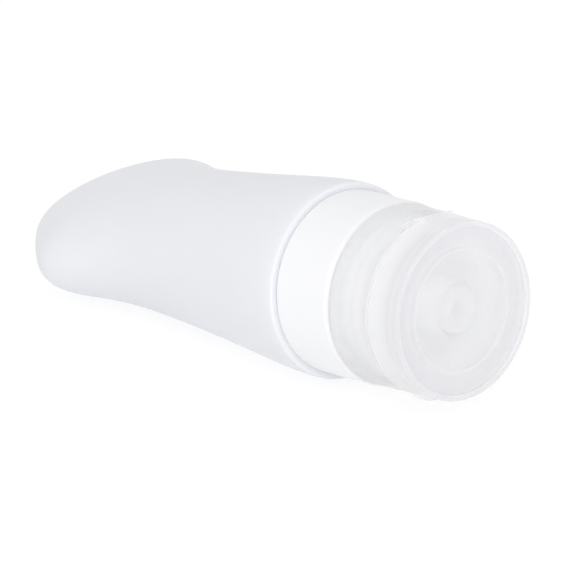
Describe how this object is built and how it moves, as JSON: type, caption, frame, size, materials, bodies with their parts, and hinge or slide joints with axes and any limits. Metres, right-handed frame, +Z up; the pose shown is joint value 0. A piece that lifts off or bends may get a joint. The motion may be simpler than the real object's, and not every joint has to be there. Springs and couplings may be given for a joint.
{
  "type": "squeeze travel bottle",
  "caption": "Soft silicone squeeze bottle, round at the collar and flat at the flared tail, with a clear screw cap and flip lid.",
  "frame": {"origin": "below the middle of the bottle, on the surface it lies on", "axes": "+X towards the cap, +Z up, Y across the wide way of the flat tail"},
  "size_m": [0.1502, 0.0541, 0.0482],
  "materials": {
    "silicone": "translucent milky silicone, satin",
    "white_plastic": "white polypropylene, satin",
    "soft_seal": "pale soft seal",
    "clear_plastic": "clear, slightly milky polypropylene"
  },
  "bodies": {
    "bottle": {"squeeze_body": "silicone", "neck_insert": "white_plastic", "collar_ring": "white_plastic"},
    "liner": {"cap_liner": "soft_seal"},
    "screw_cap": {"cap_base": "clear_plastic", "no_drip_valve": "soft_seal", "valve_retainer": "white_plastic"},
    "lid": {"flip_lid": "clear_plastic"}
  },
  "joints": [
    {"name": "cap_rise", "type": "slide", "parent": "bottle", "child": "liner", "axis": [0.9912, 0, 0.1322], "range_m": [0, 0.0065]},
    {"name": "cap_turn", "type": "hinge", "parent": "liner", "child": "screw_cap", "pos_m": [0.05382, 0, 0.02595], "axis": [0.9912, 0, 0.1322], "range_deg": [0, 720]},
    {"name": "lid_hinge", "type": "hinge", "parent": "screw_cap", "child": "lid", "pos_m": [0.06076, 0.00515, 0.04501], "axis": [-0.0364, -0.9613, 0.2732], "range_deg": [0, 110]}
  ],
  "couplings": [
    {"joint": "cap_rise", "follows": "cap_turn", "m_per_rad": 0.0005093}
  ]
}
